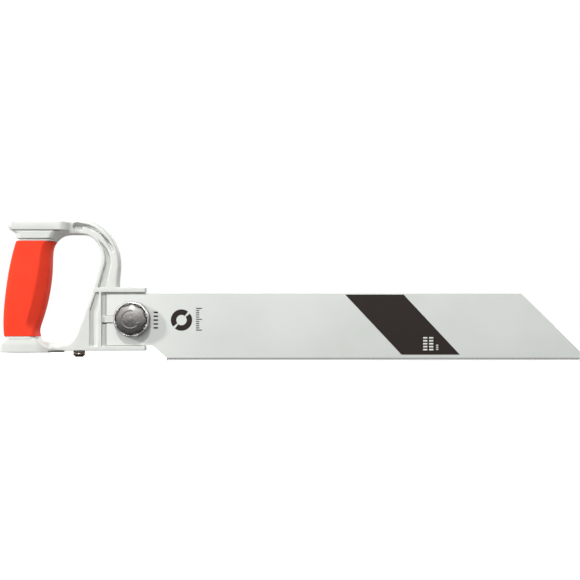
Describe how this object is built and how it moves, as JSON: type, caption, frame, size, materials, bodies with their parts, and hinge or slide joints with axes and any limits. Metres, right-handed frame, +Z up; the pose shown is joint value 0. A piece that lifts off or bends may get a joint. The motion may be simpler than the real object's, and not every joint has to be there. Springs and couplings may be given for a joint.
{
  "type": "hand saw with clamped blade",
  "caption": "Hand saw with a die-cast D handle, a rubber grip and a wide removable blade with slanted ends, clamped by a round knob.",
  "frame": {"origin": "on the clamp stud's axis, at the stud's flat rear end", "axes": "+X along the blade to its point, +Z up with the teeth facing down, +Y out of the back, so the knob is on the -Y side"},
  "size_m": [0.6291, 0.0323, 0.1529],
  "materials": {
    "powder_coat": "light grey powder coat, satin, fine orange peel",
    "grip_rubber": "matte orange-red rubber, fine grain",
    "blade_steel": "satin steel, very light, fine grain along the blade",
    "cast_zinc": "die-cast zinc, satin, unpainted",
    "zinc_plate": "bright zinc plate",
    "black_steel": "blackened steel",
    "fibre": "red-brown vulcanised fibre",
    "dark_rubber": "matte dark grey rubber"
  },
  "bodies": {
    "frame": {"handle_frame": "powder_coat", "rubber_grip": "grip_rubber", "rest_pad": "dark_rubber", "clamp_stud": "zinc_plate", "stud_lock_washer": "zinc_plate", "stud_lock_nut": "zinc_plate", "base_screw": "black_steel", "base_screw_washer": "black_steel"},
    "blade": {"saw_blade": "blade_steel"},
    "washers": {"fibre_washer": "fibre", "pressure_washer": "zinc_plate"},
    "knob": {"clamp_knob": "cast_zinc", "knob_insert": "zinc_plate"}
  },
  "joints": [
    {"name": "blade_slide", "type": "slide", "parent": "frame", "child": "blade", "axis": [1, 0, 0], "range_m": [0, 0.06]},
    {"name": "clamp_travel", "type": "slide", "parent": "frame", "child": "washers", "axis": [0, -1, 0], "range_m": [0, 0.00375]},
    {"name": "knob_spin", "type": "hinge", "parent": "washers", "child": "knob", "pos_m": [0, 0, 0], "axis": [0, -1, 0], "range_deg": [0, 1080]}
  ],
  "couplings": [
    {"joint": "knob_spin", "follows": "clamp_travel", "rad_per_m": 5026.5}
  ]
}
